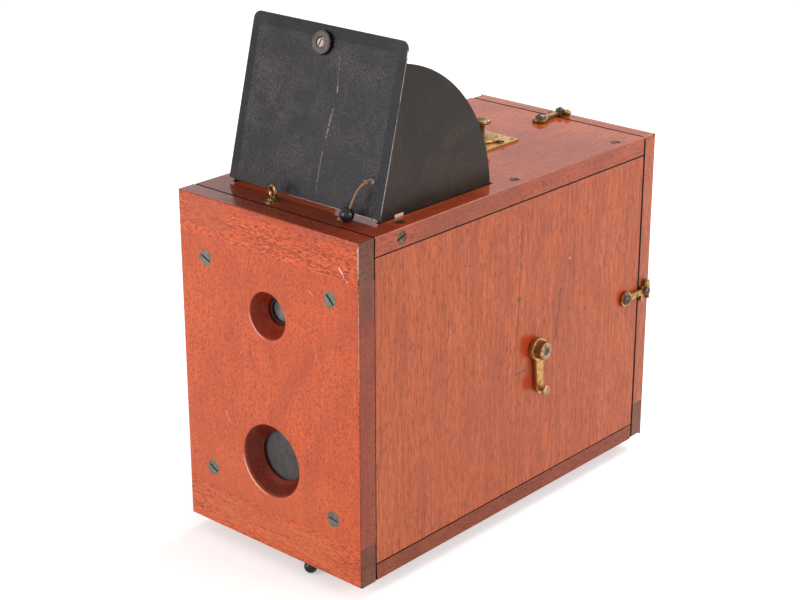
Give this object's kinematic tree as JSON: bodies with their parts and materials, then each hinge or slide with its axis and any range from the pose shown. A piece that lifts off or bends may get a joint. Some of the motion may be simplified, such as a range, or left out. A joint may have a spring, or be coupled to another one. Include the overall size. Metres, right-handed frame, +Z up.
{
  "type": "magazine camera",
  "caption": "Polished mahogany box camera for glass plates, with two coned lens openings, a raised folding black hood over a reflex finder, brass changing lever, dial and hooked back.",
  "frame": {"origin": "centre of the base, midway between the front and back faces", "axes": "+Z up, +Y from the lenses to the back, +X to the side with the changing lever"},
  "size_m": [0.1436, 0.2546, 0.2902],
  "materials": {
    "mahogany_front": "polished",
    "mahogany_cleat": "polished",
    "mahogany_top": "polished",
    "mahogany_side": "polished",
    "mahogany_rear": "polished",
    "plain_wood": "matte",
    "black_wood": "matte",
    "japanned_metal": "satin",
    "shutter_metal": "matte",
    "aged_brass": "aged",
    "steel": "tarnished",
    "glass": "clear",
    "mirror": "polished",
    "black_bead": "gloss",
    "waxed_twine": "waxed"
  },
  "bodies": {
    "case": {"front_board": "mahogany_front", "front_cleats": "mahogany_cleat", "top_board": "mahogany_top", "bottom_board": "mahogany_top", "side_panel_left": "mahogany_side", "side_panel_right": "mahogany_side", "front_battens": "plain_wood", "front_screws": "steel", "top_screws": "steel", "lens_board": "black_wood", "view_lens_tube": "japanned_metal", "view_lens_glass": "glass", "take_lens_tube": "aged_brass", "take_lens_glass": "glass", "shutter_plate": "shutter_metal", "shutter_pivot": "steel", "release_spring": "steel", "finder_partition": "black_wood", "finder_back": "black_wood", "mirror_wedges": "black_wood", "mirror_board": "black_wood", "finder_mirror": "mirror", "screen_battens": "black_wood", "ground_glass": "glass", "screen_frame": "black_wood", "magazine_rails": "plain_wood", "plate_sheaths": "japanned_metal", "glass_plates": "glass", "follower": "black_wood", "store_floor": "black_wood", "shaft_bush": "aged_brass", "hook_pivot_screws": "steel", "dial_plate": "aged_brass", "dial_screws": "steel", "hood_pivot_screws": "steel", "screw_eye": "aged_brass"},
    "hood": {"hood_plate": "japanned_metal", "hood_cheeks": "japanned_metal", "hood_knob": "steel", "hood_knob_screw": "steel", "setting_cord": "waxed_twine", "cord_bead": "black_bead"},
    "changing_gear": {"changing_shaft": "aged_brass", "changing_lever": "aged_brass", "lever_knob": "aged_brass", "lever_screw": "steel", "lever_button": "aged_brass"},
    "right_hook": {"hook_right": "aged_brass"},
    "left_hook": {"hook_left": "aged_brass"},
    "top_hook": {"hook_top": "aged_brass"},
    "dial": {"dial_pointer": "aged_brass", "dial_knob": "aged_brass"},
    "back": {"rear_board": "mahogany_rear", "rear_cleats": "mahogany_cleat", "light_trap": "black_wood", "keeper_screws": "steel", "follower_springs": "steel"},
    "shutter": {"shutter_blade": "shutter_metal"},
    "release": {"release_stem": "steel", "release_ball": "black_bead"}
  },
  "joints": [
    {"name": "hood_fold", "type": "hinge", "parent": "case", "child": "hood", "pos_m": [0, -0.09505, 0.187], "axis": [1, 0, 0], "range_deg": [-75.7, 0]},
    {"name": "changing_turn", "type": "hinge", "parent": "case", "child": "changing_gear", "pos_m": [0, 0.01645, 0.092], "axis": [1, 0, 0], "range_deg": [-75, 0]},
    {"name": "right_hook_turn", "type": "hinge", "parent": "case", "child": "right_hook", "pos_m": [0.065, 0.10125, 0.0965], "axis": [1, 0, 0], "range_deg": [0, 90]},
    {"name": "left_hook_turn", "type": "hinge", "parent": "case", "child": "left_hook", "pos_m": [-0.065, 0.10125, 0.0965], "axis": [1, 0, 0], "range_deg": [0, 90]},
    {"name": "top_hook_turn", "type": "hinge", "parent": "case", "child": "top_hook", "pos_m": [0, 0.10125, 0.192], "axis": [0, 0, 1], "range_deg": [-90, 0]},
    {"name": "dial_turn", "type": "hinge", "parent": "case", "child": "dial", "pos_m": [0, 0.04675, 0.192], "axis": [0, 0, 1], "continuous": true},
    {"name": "back_slide", "type": "slide", "parent": "case", "child": "back", "axis": [0, 1, 0], "range_m": [0, 0.06]},
    {"name": "release_push", "type": "slide", "parent": "case", "child": "release", "axis": [0, 0, 1], "range_m": [0, 0.0087], "stiffness_N_per_m": 30, "deforming": ["release_spring"]},
    {"name": "shutter_turn", "type": "hinge", "parent": "case", "child": "shutter", "pos_m": [0.033, -0.11645, 0.08], "axis": [0, 1, 0], "range_deg": [0, 43.45]}
  ],
  "couplings": [
    {"joint": "shutter_turn", "follows": "release_push", "rad_per_m": 86.57}
  ]
}
